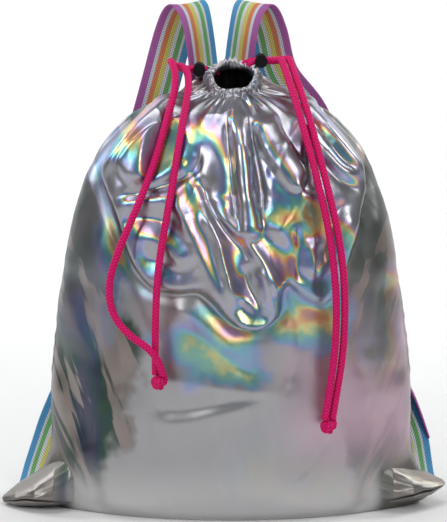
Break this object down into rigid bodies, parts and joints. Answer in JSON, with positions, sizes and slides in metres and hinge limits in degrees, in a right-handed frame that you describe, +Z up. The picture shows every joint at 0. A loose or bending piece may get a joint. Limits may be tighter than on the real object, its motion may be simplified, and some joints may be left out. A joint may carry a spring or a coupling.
{
  "type": "drawstring backpack",
  "caption": "Stuffed drawstring backpack of silver holographic foil fabric with gathered mouth, striped webbing straps, braided drawcords and barrel cord locks.",
  "frame": {"origin": "centre of the base, on the surface that the bag stands on", "axes": "+Z up, -Y towards the front with the hanging drawcords, +X to the viewer's right"},
  "size_m": [0.357, 0.1718, 0.4045],
  "materials": {
    "foil": "gloss",
    "drawcord": "matte",
    "webbing": "matte",
    "lock_plastic": "matte",
    "spring_steel": "satin"
  },
  "bodies": {
    "bag": {"front_panel": "foil", "back_panel": "foil", "hem_front": "foil", "hem_back": "foil", "corner_left": "foil", "corner_right": "foil", "drawcord_left_front_strand": "drawcord", "drawcord_left_back_strand": "drawcord", "drawcord_left_hem_run": "drawcord", "drawcord_left_knot": "drawcord", "strap_left_loop": "webbing", "strap_left_run": "webbing", "drawcord_right_front_strand": "drawcord", "drawcord_right_back_strand": "drawcord", "drawcord_right_hem_run": "drawcord", "drawcord_right_knot": "drawcord", "strap_right_loop": "webbing", "strap_right_run": "webbing", "strap_right_tail": "webbing"},
    "lock_left": {"cord_lock_left_barrel": "lock_plastic", "cord_lock_left_spring": "spring_steel"},
    "plunger_left": {"cord_lock_left_plunger": "lock_plastic"},
    "lock_right": {"cord_lock_right_barrel": "lock_plastic", "cord_lock_right_spring": "spring_steel"},
    "plunger_right": {"cord_lock_right_plunger": "lock_plastic"}
  },
  "joints": [
    {"name": "lock_left_slide", "type": "slide", "parent": "bag", "child": "lock_left", "axis": [-1, 0, 0], "range_m": [0, 0.0025]},
    {"name": "plunger_left_press", "type": "slide", "parent": "lock_left", "child": "plunger_left", "axis": [0, 1, 0], "range_m": [0, 0.002], "stiffness_N_per_m": 800, "springref_m": -0.002, "deforming": ["cord_lock_left_spring"]},
    {"name": "lock_right_slide", "type": "slide", "parent": "bag", "child": "lock_right", "axis": [1, 0, 0], "range_m": [0, 0.0025]},
    {"name": "plunger_right_press", "type": "slide", "parent": "lock_right", "child": "plunger_right", "axis": [0, 1, 0], "range_m": [0, 0.002], "stiffness_N_per_m": 800, "springref_m": -0.002, "deforming": ["cord_lock_right_spring"]}
  ]
}
